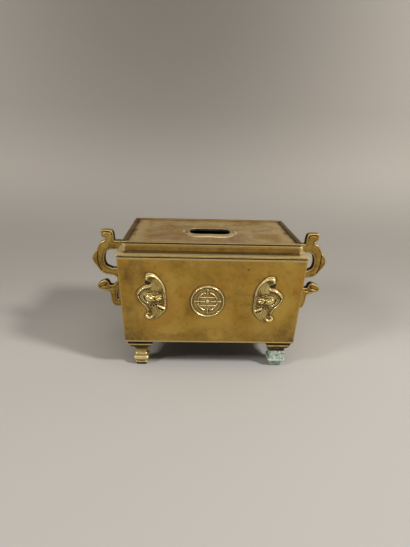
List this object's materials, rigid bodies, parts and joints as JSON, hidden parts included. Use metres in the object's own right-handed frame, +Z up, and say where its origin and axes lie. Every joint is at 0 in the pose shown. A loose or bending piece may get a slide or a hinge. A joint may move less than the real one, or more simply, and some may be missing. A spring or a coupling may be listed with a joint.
{
  "type": "lidded incense burner",
  "caption": "Rectangular brass incense burner with tapering walls on square feet, scroll handles, relief bats and a lift-off lid with a lobed vent.",
  "frame": {"origin": "middle of the footprint, on the surface that the feet stand on", "axes": "+X along the length towards the right-hand handle, +Y to the back, +Z up"},
  "size_m": [0.2064, 0.1002, 0.1118],
  "materials": {
    "wall_brass": "warm golden-brown brass with a thin worn patina, satin",
    "rim_brass": "brass worn paler along its edges, satin",
    "lid_brass": "dull greyish brown brass with worn pale edges, matt to satin",
    "handle_brass": "cast brass, olive brown in the hollows, satin",
    "foot_brass": "cast brass, pale where it is worn, satin",
    "verdigris_brass": "cast brass under a chalky pale green verdigris crust, matt",
    "ornament_brass": "pale worn brass with dark recesses, satin",
    "rivet_brass": "dull dark brass, satin"
  },
  "bodies": {
    "burner": {"front_wall": "wall_brass", "right_wall": "wall_brass", "back_wall": "wall_brass", "left_wall": "wall_brass", "floor_plate": "wall_brass", "rim_frame": "rim_brass", "foot_front_left": "foot_brass", "foot_front_right": "verdigris_brass", "foot_back_left": "foot_brass", "foot_back_right": "foot_brass", "handle_left": "handle_brass", "handle_right": "handle_brass", "front_roundel": "ornament_brass", "front_bat_left": "ornament_brass", "front_bat_right": "ornament_brass", "back_roundel": "ornament_brass", "back_bat_left": "ornament_brass", "back_bat_right": "ornament_brass", "foot_front_left_rivet": "rivet_brass", "foot_front_right_rivet": "rivet_brass", "foot_back_left_rivet": "rivet_brass", "foot_back_right_rivet": "rivet_brass", "handle_left_pin_lower": "rivet_brass", "handle_left_pin_upper": "rivet_brass", "handle_right_pin_lower": "rivet_brass", "handle_right_pin_upper": "rivet_brass", "front_roundel_rivet_1": "rivet_brass", "front_roundel_rivet_2": "rivet_brass", "front_bat_left_rivet_1": "rivet_brass", "front_bat_left_rivet_2": "rivet_brass", "front_bat_right_rivet_1": "rivet_brass", "front_bat_right_rivet_2": "rivet_brass", "back_roundel_rivet_1": "rivet_brass", "back_roundel_rivet_2": "rivet_brass", "back_bat_left_rivet_1": "rivet_brass", "back_bat_left_rivet_2": "rivet_brass", "back_bat_right_rivet_1": "rivet_brass", "back_bat_right_rivet_2": "rivet_brass"},
    "lid": {"lid_border": "lid_brass", "lid_plate": "lid_brass", "vent_frame": "lid_brass", "lid_seat": "lid_brass"}
  },
  "joints": [
    {"name": "lid_lift", "type": "slide", "parent": "burner", "child": "lid", "axis": [0, 0, 1], "range_m": [0, 0.06]}
  ]
}
